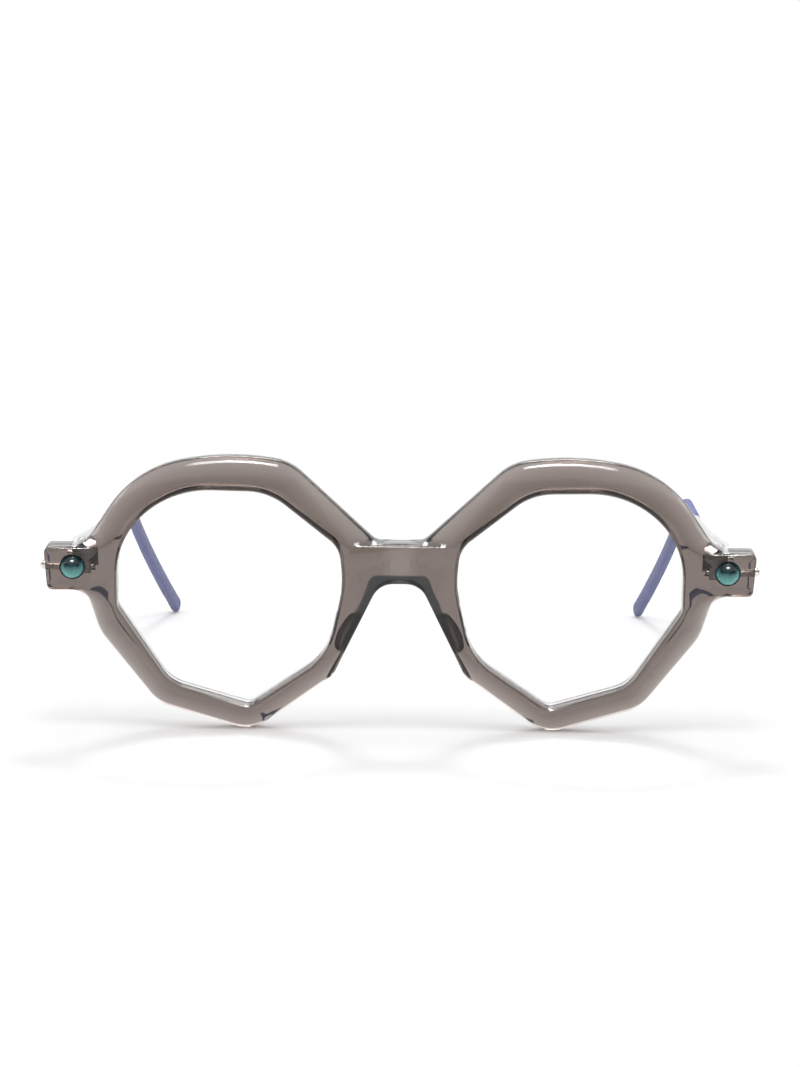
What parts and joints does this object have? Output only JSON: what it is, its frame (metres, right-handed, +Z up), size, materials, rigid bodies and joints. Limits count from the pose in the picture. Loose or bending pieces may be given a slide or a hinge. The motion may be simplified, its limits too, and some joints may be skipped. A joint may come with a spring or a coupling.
{
  "type": "eyeglasses",
  "caption": "Eyeglasses with angular, bevelled, smoke-grey acetate rims and teal cabochons on the lugs, on slim polished metal temples that end in purple sleeves.",
  "frame": {"origin": "on the table under the middle of the object's box, as it stands with its temples open", "axes": "+X towards the wearer's left, +Y from the front back towards the ends of the temples, +Z up from the table"},
  "size_m": [0.1484, 0.1469, 0.0579],
  "materials": {
    "acetate": "translucent smoke-grey acetate, polished",
    "lens": "clear",
    "pad": "translucent, polished",
    "cabochon": "deep teal, domed and polished",
    "bezel": "dark satin",
    "screw": "polished",
    "hinge": "satin",
    "arm": "polished",
    "sleeve": "matte purple-blue"
  },
  "bodies": {
    "frame": {"front": "acetate", "lens_left": "lens", "lens_right": "lens", "nose_pad_left": "pad", "nose_pad_right": "pad", "cabochon_left": "cabochon", "cabochon_right": "cabochon", "bezel_left": "bezel", "bezel_right": "bezel", "lug_screw_left": "screw", "lug_screw_right": "screw", "hinge_front_left": "hinge", "hinge_front_right": "hinge", "hinge_screw_left": "screw", "hinge_screw_right": "screw"},
    "left_temple": {"hinge_temple_left": "hinge", "temple_arm_left": "arm", "temple_tip_left": "sleeve"},
    "right_temple": {"hinge_temple_right": "hinge", "temple_arm_right": "arm", "temple_tip_right": "sleeve"}
  },
  "joints": [
    {"name": "left_fold", "type": "hinge", "parent": "frame", "child": "left_temple", "pos_m": [0.0656, -0.06217, 0.0368], "axis": [0, 0, 1], "range_deg": [0, 86]},
    {"name": "right_fold", "type": "hinge", "parent": "frame", "child": "right_temple", "pos_m": [-0.0656, -0.06217, 0.0368], "axis": [0, 0, -1], "range_deg": [0, 73]}
  ]
}
